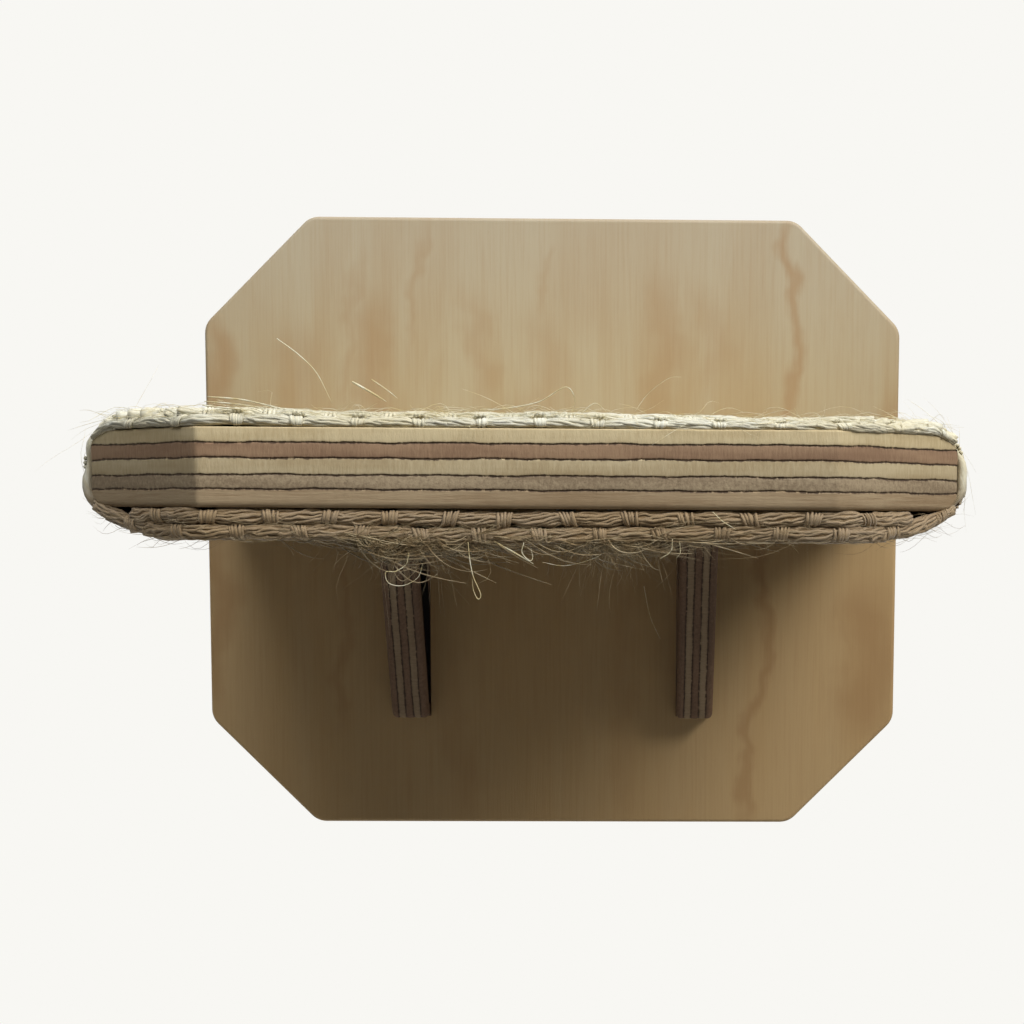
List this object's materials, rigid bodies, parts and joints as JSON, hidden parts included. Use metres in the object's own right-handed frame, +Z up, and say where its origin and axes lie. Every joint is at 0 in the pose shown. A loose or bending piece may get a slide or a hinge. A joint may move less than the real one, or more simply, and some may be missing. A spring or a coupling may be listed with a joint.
{
  "type": "cat wall step",
  "caption": "Wall-mounted plywood step for a cat: octagonal back plate, clipped board wrapped in woven sisal, and slanted gussets.",
  "frame": {"origin": "centre of the back plate's wall face", "axes": "+X to the right as seen from the room, +Y into the wall, +Z up; the step stands out towards -Y"},
  "size_m": [0.229, 0.228, 0.2],
  "materials": {
    "veneer_face": "bare rotary-cut pine face, sanded",
    "veneer_pale": "bare pale veneer, long grain at the edge",
    "veneer_red": "bare reddish heartwood veneer",
    "veneer_grey": "bare grey-brown veneer, end grain at the edge",
    "sisal": "coarse woven natural sisal, frayed",
    "screw_steel": "yellow zinc plated",
    "hanger_steel": "bright zinc plated",
    "staple_wire": "galvanised flat wire"
  },
  "bodies": {
    "root": {"step_board_ply_1": "veneer_pale", "step_board_ply_2": "veneer_red", "step_board_ply_3": "veneer_pale", "step_board_ply_4": "veneer_grey", "step_board_ply_5": "veneer_pale", "back_plate_ply_1": "veneer_face", "back_plate_ply_2": "veneer_grey", "back_plate_ply_3": "veneer_pale", "back_plate_ply_4": "veneer_grey", "back_plate_ply_5": "veneer_face", "left_gusset_ply_1": "veneer_red", "left_gusset_ply_2": "veneer_pale", "left_gusset_ply_3": "veneer_grey", "left_gusset_ply_4": "veneer_pale", "left_gusset_ply_5": "veneer_red", "right_gusset_ply_1": "veneer_red", "right_gusset_ply_2": "veneer_pale", "right_gusset_ply_3": "veneer_grey", "right_gusset_ply_4": "veneer_pale", "right_gusset_ply_5": "veneer_red", "sisal_cover": "sisal", "step_screws": "screw_steel", "gusset_screws": "screw_steel", "hanger_screws": "screw_steel", "hanger_plate_left": "hanger_steel", "hanger_plate_right": "hanger_steel", "mat_staples": "staple_wire"}
  },
  "joints": []
}
